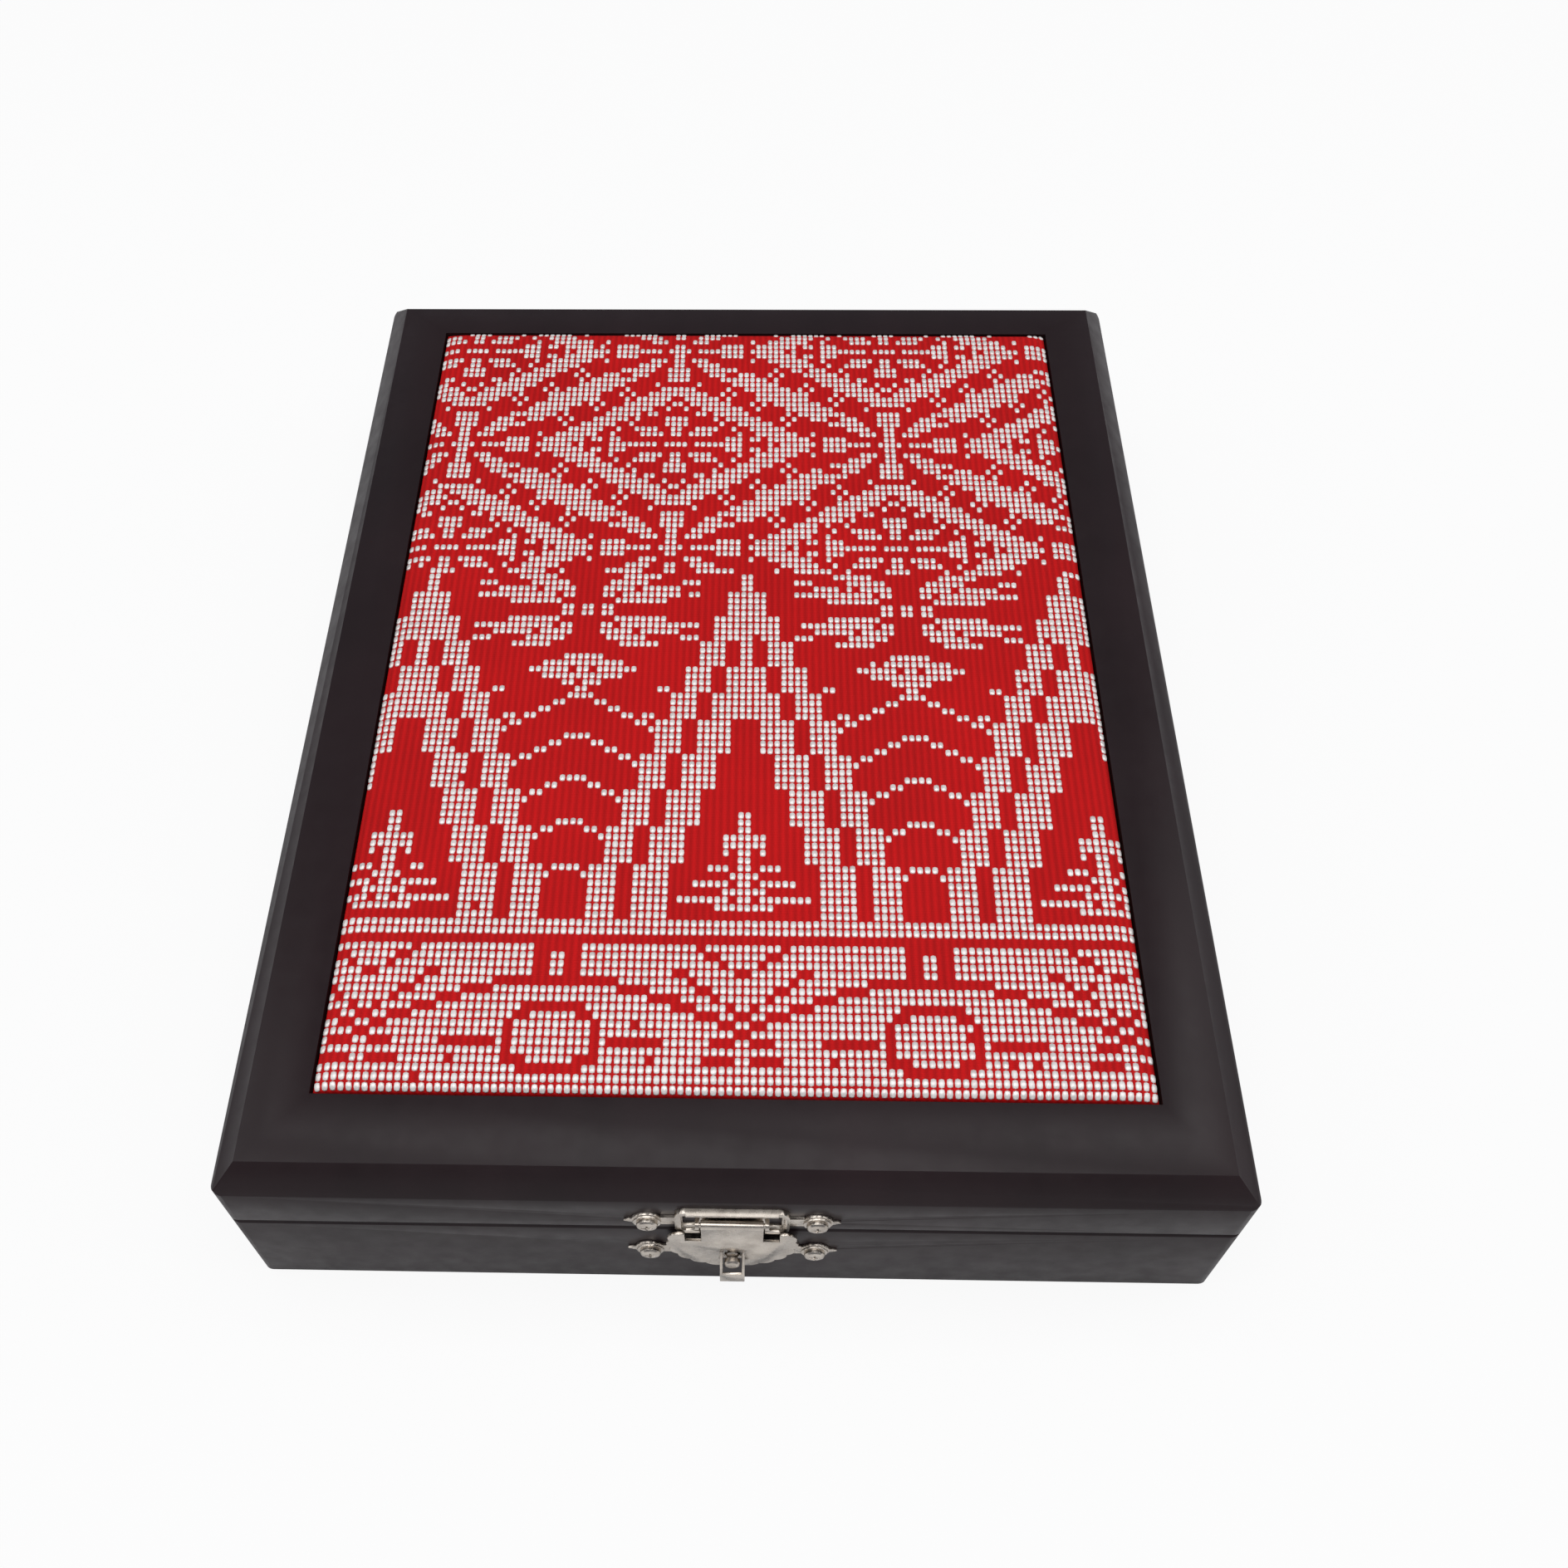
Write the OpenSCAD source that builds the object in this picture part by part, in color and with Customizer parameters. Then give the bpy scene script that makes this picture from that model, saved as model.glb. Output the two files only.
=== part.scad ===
// Brocade gift box: a flat lacquered wooden box with a padded brocade panel in the lid,
// two butt hinges at the back and a small nickel hasp at the front.
// The origin is the middle of the underside, +Z is up and the hasp faces -Y.

/* [Box] */
// Overall width of the wooden box, left to right
box_w = 200; // [150:1:300]
// Overall depth of the wooden box, front to back
box_d = 264; // [180:1:400]
// Height of the base up to its rim
base_h = 29; // [25:0.5:60]
// Height of the lid from its rim to its flat top
lid_h = 18.3; // [17:0.1:40]
// Thickness of the side rails
wall = 10; // [9:0.5:14]
// Gap between the two rims when the box is shut
rim_gap = 0.2; // [0.1:0.05:0.4]
// Rounding of the upright corners
corner_r = 2.5; // [1:0.5:6]
// Chamfer round the top of the lid
lid_chamfer = 5; // [2:0.5:7]
// Easing of the edges along the rims and the underside
edge_ease = 0.7; // [0.3:0.1:1.2]

/* [Lid boards] */
// Thickness of the top frame
top_t = 5; // [4:0.5:7]
// Flat and chamfer beside the brocade window, at the left and the right
window_side = 17.2; // [15:0.1:26]
// Flat and chamfer in front of the window
window_front = 19.2; // [15:0.1:30]
// Flat and chamfer behind the window
window_back = 15.4; // [15:0.1:30]
// Thickness of the backing board under the top frame
backing_t = 3; // [2:0.5:4]

/* [Brocade pad] */
// Gap between the window's edge and the brocade
pad_gap = 0.5; // [0.3:0.1:1.5]
// Thickness of the board inside the pad
pad_board_t = 2; // [1:0.5:3]
// Thickness of the brocade cover
cover_t = 0.6; // [0.4:0.1:1]
// Depth of the pad's edge below the lid's flat top
pad_edge_drop = 0.9; // [0.2:0.1:1.4]
// Height of the pad's shoulder above its edge
pad_shoulder = 2.1; // [0.5:0.1:4]
// Extra height of the pad's middle above its shoulder
pad_crown = 0.5; // [0:0.1:3]
// Width of the rounding along the pad's edges
pad_round = 5.5; // [2:0.5:12]

/* [Lining] */
// Thickness of the lining boards
lining_board_t = 1.5; // [1:0.5:2.5]
// Thickness of the velvet lining under the lid, at its edges
lid_lining_t = 1.4; // [1:0.1:2.5]
// Thickness of the velvet floor pad at its edges
floor_pad_t = 2; // [1:0.1:5]
// Extra thickness in the middle of both velvet pads
velvet_crown = 1; // [0:0.1:2]
// Width of the rounding along the edges of both velvet pads
velvet_round = 4; // [2:0.5:10]
// Thickness of the liners on the walls of the base
liner_t = 1.5; // [1:0.1:3]
// Depth of the liners' top edge below the rim
liner_drop = 1.5; // [0.5:0.1:4]
// Gap between lining pieces and what they sit in
lining_gap = 0.2; // [0.1:0.05:0.5]

/* [Bottom] */
// Thickness of the bottom panel
bottom_t = 4; // [3:0.5:6]
// Width of the rebate that holds the bottom panel
rebate_w = 5; // [3:0.5:6]

/* [Hinges] */
// Distance of each hinge's middle from the box's nearer side
hinge_side = 42; // [32:1:58]
// Length of each hinge
hinge_len = 25; // [18:1:30]
// Distance of the hinge pins inside the back face
hinge_inset = 3; // [2.8:0.1:3.4]
// Radius of the hinge knuckles
knuckle_r = 1.75; // [1.6:0.05:2]
// Radius of the hinge pins
hinge_pin_r = 0.8; // [0.6:0.05:1]
// Thickness of the hinge leaves
leaf_t = 1; // [0.8:0.1:1.2]
// Distance from the pin to the far edge of a leaf
leaf_reach = 6.6; // [5.6:0.1:6.8]
// Length of the knuckle that belongs to the lid's leaf
lid_knuckle_len = 9; // [6:0.5:12]
// Furthest opening of the lid, in degrees
lid_open = 100; // [80:1:110]
// Distance between the two screws of a leaf
hinge_screw_pitch = 15; // [10:1:15]
// Length of the hinge screws
hinge_screw_len = 7; // [4:0.5:9]

/* [Latch plates] */
// Thickness of the plates
plate_t = 0.6; // [0.4:0.1:0.8]
// Width across the lid plate's raised frame
frame_w = 22.2; // [21:0.2:26]
// Height of the lid plate's raised frame
frame_h = 10.3; // [9.4:0.1:10.8]
// Width of the raised rim on that frame
frame_rim = 1.2; // [0.8:0.1:1.4]
// Rounding of the frame's corners
frame_r = 2.2; // [1.6:0.1:3]
// Height of the raised rim above the plate
rim_rise = 0.5; // [0.3:0.1:0.6]
// Height of the top flange above the plate
flange_rise = 0.9; // [0.6:0.1:1.3]
// Height of the two windows beside the lugs
window_h = 4.4; // [3.6:0.1:5]
// Distance of the plate screws from the middle
plate_screw_x = 16.5; // [16.4:0.1:19]
// Distance from a plate screw to the tip of its ear
ear_reach = 4.6; // [3.8:0.1:6]
// Height of the ears' pointed tips
ear_tip_h = 2.5; // [2:0.1:3.4]
// Radius of the ears round the screws
ear_r = 3.1; // [2.9:0.1:3.4]
// Height of the bar that joins the two ears of a plate
ear_bar_h = 3.4; // [2.4:0.1:4.4]
// Height of the lid plate's screws above the lid's rim
lid_ear_rise = 5.2; // [4.4:0.1:6]
// Depth of the catch plate's screws and stud below the base's rim
catch_ear_drop = 10.1; // [9.4:0.1:11.4]
// Radius of the raised boss round each plate screw
boss_r = 2.7; // [2.3:0.1:2.9]
// Height of that boss above the plate
boss_rise = 0.4; // [0.2:0.1:0.6]
// Radius of the scallops along the catch plate
catch_lobe_r = 4; // [3:0.1:4.6]
// Distance between those scallops
catch_pitch = 3.6; // [2.6:0.1:4.2]
// Width of the raised seat behind the fan
seat_w = 13; // [9:0.5:14]
// Height of that seat
seat_h = 7; // [5:0.5:7.5]
// Rounding of that seat's corners
seat_r = 1.5; // [0.5:0.1:2.4]
// Height of that seat above the catch plate
seat_rise = 0.5; // [0.3:0.1:0.8]

/* [Hasp] */
// Height of the hasp pin above the lid's rim
hasp_pin_rise = 6.8; // [6.4:0.1:7.2]
// Distance of the hasp pin in front of the box
hasp_pin_out = 1.85; // [1.8:0.05:2.1]
// Radius of the hasp pin
hasp_pin_r = 0.5; // [0.3:0.05:0.6]
// Radius of the rolled barrel on the hasp
barrel_r = 0.95; // [0.85:0.05:1]
// Width of the hasp's neck and barrel
neck_w = 12.2; // [11:0.2:12.6]
// Width of each lug beside the barrel
lug_w = 0.8; // [0.6:0.1:1.2]
// Gap between the barrel and each lug
lug_gap = 0.25; // [0.2:0.05:0.4]
// Thickness of the hasp's sheet
hasp_t = 0.7; // [0.5:0.1:0.9]
// Gap between the hasp and the seat behind it
hasp_gap = 0.3; // [0.2:0.05:0.4]
// Width across the scalloped fan
fan_w = 26.2; // [24.6:0.2:28]
// Distance from the pin to the fan's widest line
fan_middle_drop = 10; // [9.2:0.1:11]
// Distance from the pin to the fan's lowest edge
fan_drop = 22.5; // [21:0.1:24]
// Number of scallops round the fan
fan_lobes = 13; // [9:2:17]
// Angle by which the scallops climb past the widest line at each side, in degrees
fan_climb = 15; // [5:1:20]
// Radius of each scallop
lobe_r = 2.6; // [2.3:0.1:3.2]
// Width of the notch at each side of the neck
notch_w = 3.2; // [2.8:0.1:3.6]
// Distance from the pin to the bottom of those notches
notch_drop = 8.5; // [7.6:0.1:9]
// Width of the slot that the stud passes through
slot_w = 3.8; // [3.6:0.1:4.4]
// Width of the pressed-out tongue
tongue_w = 5; // [4.8:0.1:6]
// Thickness of the tongue's strips and of its lip
tongue_t = 0.6; // [0.4:0.1:0.9]
// Gap between the stud's tip and the lip
lip_gap = 0.3; // [0.2:0.05:0.8]
// Height of the lip at the tongue's end
lip_h = 4.1; // [3:0.1:5]

/* [Stud and screws] */
// Radius of the stud's head and foot
stud_r = 1.6; // [1.3:0.05:1.6]
// Radius of the stud's waist
stud_waist_r = 1.15; // [0.9:0.05:1.2]
// Length of the stud in front of its seat
stud_len = 3; // [2.6:0.1:4]
// Radius of the plate screws' heads
screw_head_r = 2.1; // [1.8:0.05:2.3]
// Height of the plate screws' heads
screw_head_h = 1.2; // [0.9:0.1:1.6]
// Radius of all the screws' shanks
screw_r = 1; // [0.7:0.05:1.1]
// Length of the plate screws in the wood
plate_screw_len = 7.5; // [5:0.5:8]

/* [Hidden] */
// Depth of a screw's pilot hole past the screw's tip
pilot_spare = 1.5;
$fn = 48;

// Colours as the photograph shows them
wood_col = [0.12, 0.09, 0.10];
board_col = [0.45, 0.33, 0.22];
brocade_col = [0.72, 0.07, 0.08];
foam_col = [0.92, 0.90, 0.82];
velvet_col = [0.42, 0.03, 0.06];
nickel_col = [0.72, 0.68, 0.62];

// Half sizes and levels of the wooden parts
half_w = box_w / 2;
half_d = box_d / 2;
hinge_x = half_w - hinge_side;
in_w = box_w - 2 * wall;
in_d = box_d - 2 * wall;
lid_rim_z = base_h + rim_gap;
lid_top_z = lid_rim_z + lid_h;
top_under_z = lid_top_z - top_t;
backing_under_z = top_under_z - backing_t;
lid_board_under_z = backing_under_z - lining_board_t;

// The brocade window in the top frame, and the pad in it
window_w = box_w - 2 * window_side;
window_d = box_d - window_front - window_back;
window_y = (window_front - window_back) / 2;
pad_w = window_w - 2 * pad_gap;
pad_d = window_d - 2 * pad_gap;
layer_gap = 0.1;
pad_edge_z = lid_top_z - pad_edge_drop;
pad_board_top_z = top_under_z + pad_board_t;

// The hinge line
hinge_y = half_d - hinge_inset;
hinge_z = base_h + rim_gap / 2;
vee_gap = 0.15;
knuckle_gap = 0.3;
bore_gap = 0.03;
mortise_gap = 0.1;
relief_r = knuckle_r + knuckle_gap;
leaf_edge_y = hinge_y - leaf_reach;
leaf_screw_y = (leaf_edge_y + hinge_y - relief_r) / 2;
sink_r = 1.8;
sink_t = 0.8;
screw_gap = 0.05;

// The latch: heights, and distances in front of the box's front face
front_y = -half_d;
frame_z = lid_rim_z + 0.3;
frame_mid_z = frame_z + frame_h / 2;
lid_ear_z = lid_rim_z + lid_ear_rise;
catch_ear_z = base_h - catch_ear_drop;
stud_z = catch_ear_z;
hasp_pin_z = lid_rim_z + hasp_pin_rise;
seat_out = plate_t + seat_rise;
stud_end = seat_out + stud_len;
hasp_back = seat_out + hasp_gap;
hasp_front = hasp_back + hasp_t;
lug_in = neck_w / 2 + lug_gap;
lug_out = lug_in + lug_w;
slot_top_z = stud_z + stud_r + 1;
tongue_z = stud_z - stud_r - 0.7;
tongue_face = stud_end + lip_gap;
pilot_gap = 0.05;

// How many steps a pad's surface has between its rounded edges
pad_cols = 5;
pad_rows = 7;

// A rectangle with round corners, centred
module round_plan(w, d, r) {
  square([w - 2 * r, d], center = true);
  square([w, d - 2 * r], center = true);
  for (x = [-1, 1], y = [-1, 1])
    translate([x * (w / 2 - r), y * (d / 2 - r)]) circle(r);
}

// A board between two levels
module board(w, d, z0, z1, y = 0) {
  translate([-w / 2, y - d / 2, z0]) cube([w, d, z1 - z0]);
}

// A cylinder along X, centred on x
module rod_x(x, y, z, r, len) {
  translate([x - len / 2, y, z]) rotate([0, 90, 0]) cylinder(r = r, h = len);
}

// The side view of a block with chamfered edges
module eased_side(w, z0, z1, low, high) {
  h = w / 2;
  polygon([[-h, z0 + low], [-h + low, z0], [h - low, z0], [h, z0 + low],
    [h, z1 - high], [h - high, z1], [-h + high, z1], [-h, z1 - high]]);
}

// The outer form of the base or the lid: round corners and chamfered edges
module outer_form(z0, z1, low, high) {
  intersection() {
    translate([0, 0, z0]) linear_extrude(z1 - z0) round_plan(box_w, box_d, corner_r);
    translate([0, half_d, 0]) rotate([90, 0, 0])
      linear_extrude(box_d) eased_side(box_w, z0, z1, low, high);
    translate([-half_w, 0, 0]) rotate([90, 0, 90])
      linear_extrude(box_w) eased_side(box_d, z0, z1, low, high);
  }
}

// The plan of one mitred rail
module rail_plan(side) {
  ix = half_w - wall;
  iy = half_d - wall;
  polygon(
    side == "front" ? [[-half_w, -half_d], [half_w, -half_d], [ix, -iy], [-ix, -iy]] :
    side == "back" ? [[-half_w, half_d], [-ix, iy], [ix, iy], [half_w, half_d]] :
    side == "left" ? [[-half_w, -half_d], [-ix, -iy], [-ix, iy], [-half_w, half_d]] :
    [[half_w, -half_d], [half_w, half_d], [ix, iy], [ix, -iy]]);
}

// The bevel along the back rims, which stops the lid: up is 1 on the lid and -1 on the base
module back_bevel(up) {
  reach = hinge_inset + 1;
  rise = reach * tan(lid_open / 2);
  apex = hinge_y - vee_gap;
  translate([-half_w - 1, 0, 0]) rotate([90, 0, 90]) linear_extrude(box_w + 2)
    polygon([[apex, hinge_z], [apex + reach, hinge_z], [apex + reach, hinge_z + up * rise]]);
}

// What each back rail loses to a hinge: a round relief, the leaf's mortise and pilot holes
module hinge_pocket(side, up) {
  rim = up > 0 ? lid_rim_z : base_h;
  rod_x(side * hinge_x, hinge_y, hinge_z, relief_r, hinge_len + 2 * mortise_gap);
  translate([side * hinge_x - hinge_len / 2 - mortise_gap, leaf_edge_y - mortise_gap,
      up > 0 ? rim - 1 : rim - leaf_t])
    cube([hinge_len + 2 * mortise_gap, leaf_reach + mortise_gap, leaf_t + 1]);
  for (x = [-1, 1])
    translate([side * hinge_x + x * hinge_screw_pitch / 2, leaf_screw_y, rim - (up > 0 ? 0 : hinge_screw_len + 0.5)])
      cylinder(r = screw_r + pilot_gap, h = hinge_screw_len + 0.5);
}

// Pilot holes for the two screws of a latch plate
module plate_pilots(z) {
  for (x = [-1, 1])
    translate([x * plate_screw_x, front_y - 1, z]) rotate([-90, 0, 0])
      cylinder(r = screw_r + pilot_gap, h = plate_screw_len + pilot_spare);
}

module base_rail(side) {
  color(wood_col) difference() {
    intersection() {
      linear_extrude(base_h) rail_plan(side);
      outer_form(0, base_h, edge_ease, edge_ease);
    }
    board(in_w + 2 * rebate_w, in_d + 2 * rebate_w, -1, bottom_t);
    if (side != "front") back_bevel(-1);
    if (side == "back") {
      hinge_pocket(-1, -1);
      hinge_pocket(1, -1);
    }
    if (side == "front") plate_pilots(catch_ear_z);
  }
}

module lid_rail(side) {
  color(wood_col) difference() {
    intersection() {
      translate([0, 0, lid_rim_z]) linear_extrude(top_under_z - lid_rim_z) rail_plan(side);
      outer_form(lid_rim_z, lid_top_z, edge_ease, lid_chamfer);
    }
    if (side != "front") back_bevel(1);
    if (side == "back") {
      hinge_pocket(-1, 1);
      hinge_pocket(1, 1);
    }
    if (side == "front") plate_pilots(lid_ear_z);
  }
}

module base_front_rail() { base_rail("front"); }
module base_back_rail() { base_rail("back"); }
module base_left_rail() { base_rail("left"); }
module base_right_rail() { base_rail("right"); }
module lid_front_rail() { lid_rail("front"); }
module lid_back_rail() { lid_rail("back"); }
module lid_left_rail() { lid_rail("left"); }
module lid_right_rail() { lid_rail("right"); }

// Bottom panel, glued into its rebate flush with the underside
module base_bottom_panel() {
  color(board_col) board(in_w + 2 * rebate_w, in_d + 2 * rebate_w, 0, bottom_t);
}

// Top frame: one board with the brocade window routed through it
module lid_top_frame() {
  color(wood_col) difference() {
    intersection() {
      board(box_w, box_d, top_under_z, lid_top_z);
      outer_form(lid_rim_z, lid_top_z, edge_ease, lid_chamfer);
    }
    board(window_w, window_d, top_under_z - 1, lid_top_z + 1, window_y);
  }
}

// Backing board, glued under the top frame between the rails
module lid_backing_board() {
  color(board_col) board(in_w, in_d, backing_under_z, top_under_z);
}

// Places along one side of a pad: close together along both rounded edges
function pad_steps(len, round_w, mid) =
  let(edge = [0, 0.06, 0.2, 0.42, 0.7, 1])
  concat(
    [for (e = edge) -len / 2 + e * round_w],
    [for (i = [1 : mid - 1]) (i / mid - 0.5) * (len - 2 * round_w)],
    [for (i = [0 : len(edge) - 1]) len / 2 - edge[len(edge) - 1 - i] * round_w]);

// Share of a pad's shoulder reached at a distance from its edge: a quarter round
function shoulder(dist, round_w) =
  let(t = min(1, dist / round_w))
  sqrt(1 - (1 - t) * (1 - t));

// Height of a pad above its edge, at a place on it
function pad_rise(x, y, w, d, rise, crown, round_w) =
  rise * shoulder(w / 2 - abs(x), round_w) * shoulder(d / 2 - abs(y), round_w)
  + crown * (1 - pow(2 * x / w, 2)) * (1 - pow(2 * y / d, 2));

// Points of a pad's crowned surface
function pad_points(w, d, z, rise, crown, round_w, inset, y0) =
  [for (y = pad_steps(d, round_w, pad_rows), x = pad_steps(w, round_w, pad_cols))
    [x * (1 - 2 * inset / w), y0 + y * (1 - 2 * inset / d),
     z + pad_rise(x, y, w, d, rise, crown, round_w)]];

// Triangles of a grid of points: turned upwards, or downwards when flip is true
function grid_faces(nx, ny, first, flip) =
  [for (j = [0 : ny - 2], i = [0 : nx - 2], half = [0, 1])
    let(a = first + j * nx + i, b = a + 1, c = a + nx, e = c + 1,
        t = half == 0 ? [a, c, b] : [b, c, e])
    flip ? [t[2], t[1], t[0]] : t];

// The points round the edge of a grid, in order
function grid_edge(nx, ny, first) = concat(
  [for (i = [0 : nx - 2]) first + i],
  [for (j = [0 : ny - 2]) first + j * nx + nx - 1],
  [for (i = [nx - 1 : -1 : 1]) first + (ny - 1) * nx + i],
  [for (j = [ny - 1 : -1 : 1]) first + j * nx]);

// Triangles between two closed rows of points of the same length
function band_faces(upper, lower) =
  [for (i = [0 : len(upper) - 1], half = [0, 1])
    let(k = (i + 1) % len(upper))
    half == 0 ? [upper[i], upper[k], lower[i]] : [upper[k], lower[k], lower[i]]];

// A crowned pad on a flat underside
module crowned_pad(w, d, z_under, z_edge, rise, crown, round_w, y0) {
  nx = len(pad_steps(w, round_w, pad_cols));
  ny = len(pad_steps(d, round_w, pad_rows));
  top = pad_points(w, d, z_edge, rise, crown, round_w, 0, y0);
  edge = grid_edge(nx, ny, 0);
  under = [for (i = edge) [top[i][0], top[i][1], z_under]];
  low = [for (i = [0 : len(edge) - 1]) nx * ny + i];
  middle = nx * ny + len(edge);
  polyhedron(
    points = concat(top, under, [[0, y0, z_under]]),
    faces = concat(grid_faces(nx, ny, 0, false), band_faces(edge, low),
      [for (i = [0 : len(low) - 1]) [low[i], low[(i + 1) % len(low)], middle]]));
}

// A crowned cover of even thickness, open underneath
module crowned_cover(w, d, z_under, z_edge, rise, crown, round_w, t, y0) {
  nx = len(pad_steps(w, round_w, pad_cols));
  ny = len(pad_steps(d, round_w, pad_rows));
  n = nx * ny;
  outer = pad_points(w, d, z_edge, rise, crown, round_w, 0, y0);
  inner = pad_points(w, d, z_edge - t, rise, crown, round_w, t, y0);
  edge = grid_edge(nx, ny, 0);
  m = len(edge);
  outer_low = [for (i = edge) [outer[i][0], outer[i][1], z_under]];
  inner_low = [for (i = edge) [inner[i][0], inner[i][1], z_under]];
  inner_edge = [for (i = edge) i + n];
  outer_foot = [for (i = [0 : m - 1]) 2 * n + i];
  inner_foot = [for (i = [0 : m - 1]) 2 * n + m + i];
  polyhedron(
    points = concat(outer, inner, outer_low, inner_low),
    faces = concat(grid_faces(nx, ny, 0, false), grid_faces(nx, ny, n, true),
      band_faces(edge, outer_foot), band_faces(outer_foot, inner_foot),
      band_faces(inner_foot, inner_edge)));
}

// Board that the foam and the brocade are stretched over
module pad_board() {
  inset = 2 * (cover_t + layer_gap);
  color(board_col) board(pad_w - inset, pad_d - inset, top_under_z, pad_board_top_z, window_y);
}

// Foam between the pad board and the brocade
module pad_foam() {
  inset = cover_t + layer_gap;
  color(foam_col)
    crowned_pad(pad_w - 2 * inset, pad_d - 2 * inset, pad_board_top_z, pad_edge_z - inset,
      pad_shoulder, pad_crown, pad_round, window_y);
}

// Brocade cover: crowned over the foam and drawn down round the board
module brocade_cover() {
  color(brocade_col)
    crowned_cover(pad_w, pad_d, top_under_z, pad_edge_z, pad_shoulder, pad_crown,
      pad_round, cover_t, window_y);
}

// Lining board under the backing board
module lid_lining_board() {
  inset = 2 * lining_gap;
  color(board_col) board(in_w - inset, in_d - inset, lid_board_under_z, backing_under_z);
}

// Velvet lining of the lid, crowned downwards
module lid_lining() {
  inset = 2 * lining_gap;
  color(velvet_col) translate([0, 0, lid_board_under_z]) mirror([0, 0, 1])
    crowned_pad(in_w - inset, in_d - inset, 0, lid_lining_t, velvet_crown / 2, velvet_crown / 2,
      velvet_round, 0);
}

// Width and depth left inside the liners
pad_room_w = in_w - 2 * (liner_t + lining_gap);
pad_room_d = in_d - 2 * (liner_t + lining_gap);
floor_board_top_z = bottom_t + lining_board_t;

module floor_pad_board() {
  color(board_col) board(pad_room_w, pad_room_d, bottom_t, floor_board_top_z);
}

// Velvet floor pad, crowned upwards
module floor_pad() {
  color(velvet_col)
    crowned_pad(pad_room_w, pad_room_d, floor_board_top_z, floor_board_top_z + floor_pad_t,
      velvet_crown / 2, velvet_crown / 2, velvet_round, 0);
}

// Liners: the front and back ones run between the side ones
module side_liner(side) {
  color(velvet_col)
    translate([side > 0 ? in_w / 2 - liner_t : -in_w / 2, -in_d / 2, bottom_t])
      cube([liner_t, in_d, base_h - liner_drop - bottom_t]);
}
module end_liner(side) {
  len = in_w - 2 * liner_t;
  color(velvet_col)
    translate([-len / 2, side > 0 ? in_d / 2 - liner_t : -in_d / 2, bottom_t])
      cube([len, liner_t, base_h - liner_drop - bottom_t]);
}
module left_liner() { side_liner(-1); }
module right_liner() { side_liner(1); }
module front_liner() { end_liner(-1); }
module back_liner() { end_liner(1); }

// One hinge leaf: up is 1 for the lid's leaf with one knuckle, -1 for the base's with two
module hinge_leaf(side, up) {
  x0 = side * hinge_x;
  z0 = up > 0 ? lid_rim_z : base_h - leaf_t;
  outer_len = (hinge_len - lid_knuckle_len) / 2 - knuckle_gap;
  color(nickel_col) difference() {
    union() {
      translate([x0 - hinge_len / 2, leaf_edge_y, z0])
        cube([hinge_len, leaf_reach - relief_r, leaf_t]);
      if (up > 0) {
        rod_x(x0, hinge_y, hinge_z, knuckle_r, lid_knuckle_len);
        translate([x0 - lid_knuckle_len / 2, leaf_edge_y, z0])
          cube([lid_knuckle_len, leaf_reach, leaf_t]);
      } else {
        for (s = [-1, 1]) {
          xm = x0 + s * (hinge_len - outer_len) / 2;
          rod_x(xm, hinge_y, hinge_z, knuckle_r, outer_len);
          translate([xm - outer_len / 2, leaf_edge_y, z0]) cube([outer_len, leaf_reach, leaf_t]);
        }
      }
    }
    rod_x(x0, hinge_y, hinge_z, hinge_pin_r + bore_gap, hinge_len + 2);
    for (s = [-1, 1])
      translate([x0 + s * hinge_screw_pitch / 2, leaf_screw_y, up > 0 ? lid_rim_z : base_h])
        mirror([0, 0, up > 0 ? 0 : 1]) {
          translate([0, 0, -1]) cylinder(r = screw_r + screw_gap, h = leaf_t + 2);
          cylinder(r1 = sink_r + screw_gap, r2 = screw_r + screw_gap, h = sink_t);
          translate([0, 0, -1]) cylinder(r = sink_r + screw_gap, h = 1);
        }
  }
}
module left_hinge_base_leaf() { hinge_leaf(-1, -1); }
module right_hinge_base_leaf() { hinge_leaf(1, -1); }
module left_hinge_lid_leaf() { hinge_leaf(-1, 1); }
module right_hinge_lid_leaf() { hinge_leaf(1, 1); }

module hinge_pin(side) {
  color(nickel_col) rod_x(side * hinge_x, hinge_y, hinge_z, hinge_pin_r, hinge_len);
}
module left_hinge_pin() { hinge_pin(-1); }
module right_hinge_pin() { hinge_pin(1); }

// Countersunk hinge screws: up is 1 for those driven up into the lid
module hinge_screws(up) {
  color(nickel_col)
    for (side = [-1, 1], s = [-1, 1])
      translate([side * hinge_x + s * hinge_screw_pitch / 2, leaf_screw_y,
          up > 0 ? lid_rim_z : base_h])
        mirror([0, 0, up > 0 ? 0 : 1]) {
          cylinder(r1 = sink_r, r2 = screw_r, h = sink_t);
          cylinder(r = screw_r, h = hinge_screw_len);
        }
}
module base_hinge_screws() { hinge_screws(-1); }
module lid_hinge_screws() { hinge_screws(1); }

// Lays a plan drawn in X and height onto the box's front, from one distance out to another
module on_front(z, out0, out1) {
  translate([0, front_y - out0, z]) rotate([90, 0, 0]) linear_extrude(out1 - out0) children();
}

// Two leaf-shaped ears with their bar, drawn round the height of the screws
module ear_plan() {
  half_h = ear_tip_h / 2;
  tip_r = (ear_reach * ear_reach + half_h * half_h) / ear_tip_h;
  square([2 * plate_screw_x, ear_bar_h], center = true);
  for (s = [-1, 1]) translate([s * plate_screw_x, 0]) {
    circle(ear_r);
    intersection() {
      translate([0, half_h - tip_r]) circle(tip_r, $fn = 160);
      translate([0, tip_r - half_h]) circle(tip_r, $fn = 160);
    }
  }
}

// Raised bosses round the plate screws, from the plate's face
module bosses(z) {
  for (s = [-1, 1])
    translate([s * plate_screw_x, front_y - plate_t, z]) rotate([90, 0, 0])
      cylinder(r = boss_r, h = boss_rise);
}

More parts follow.
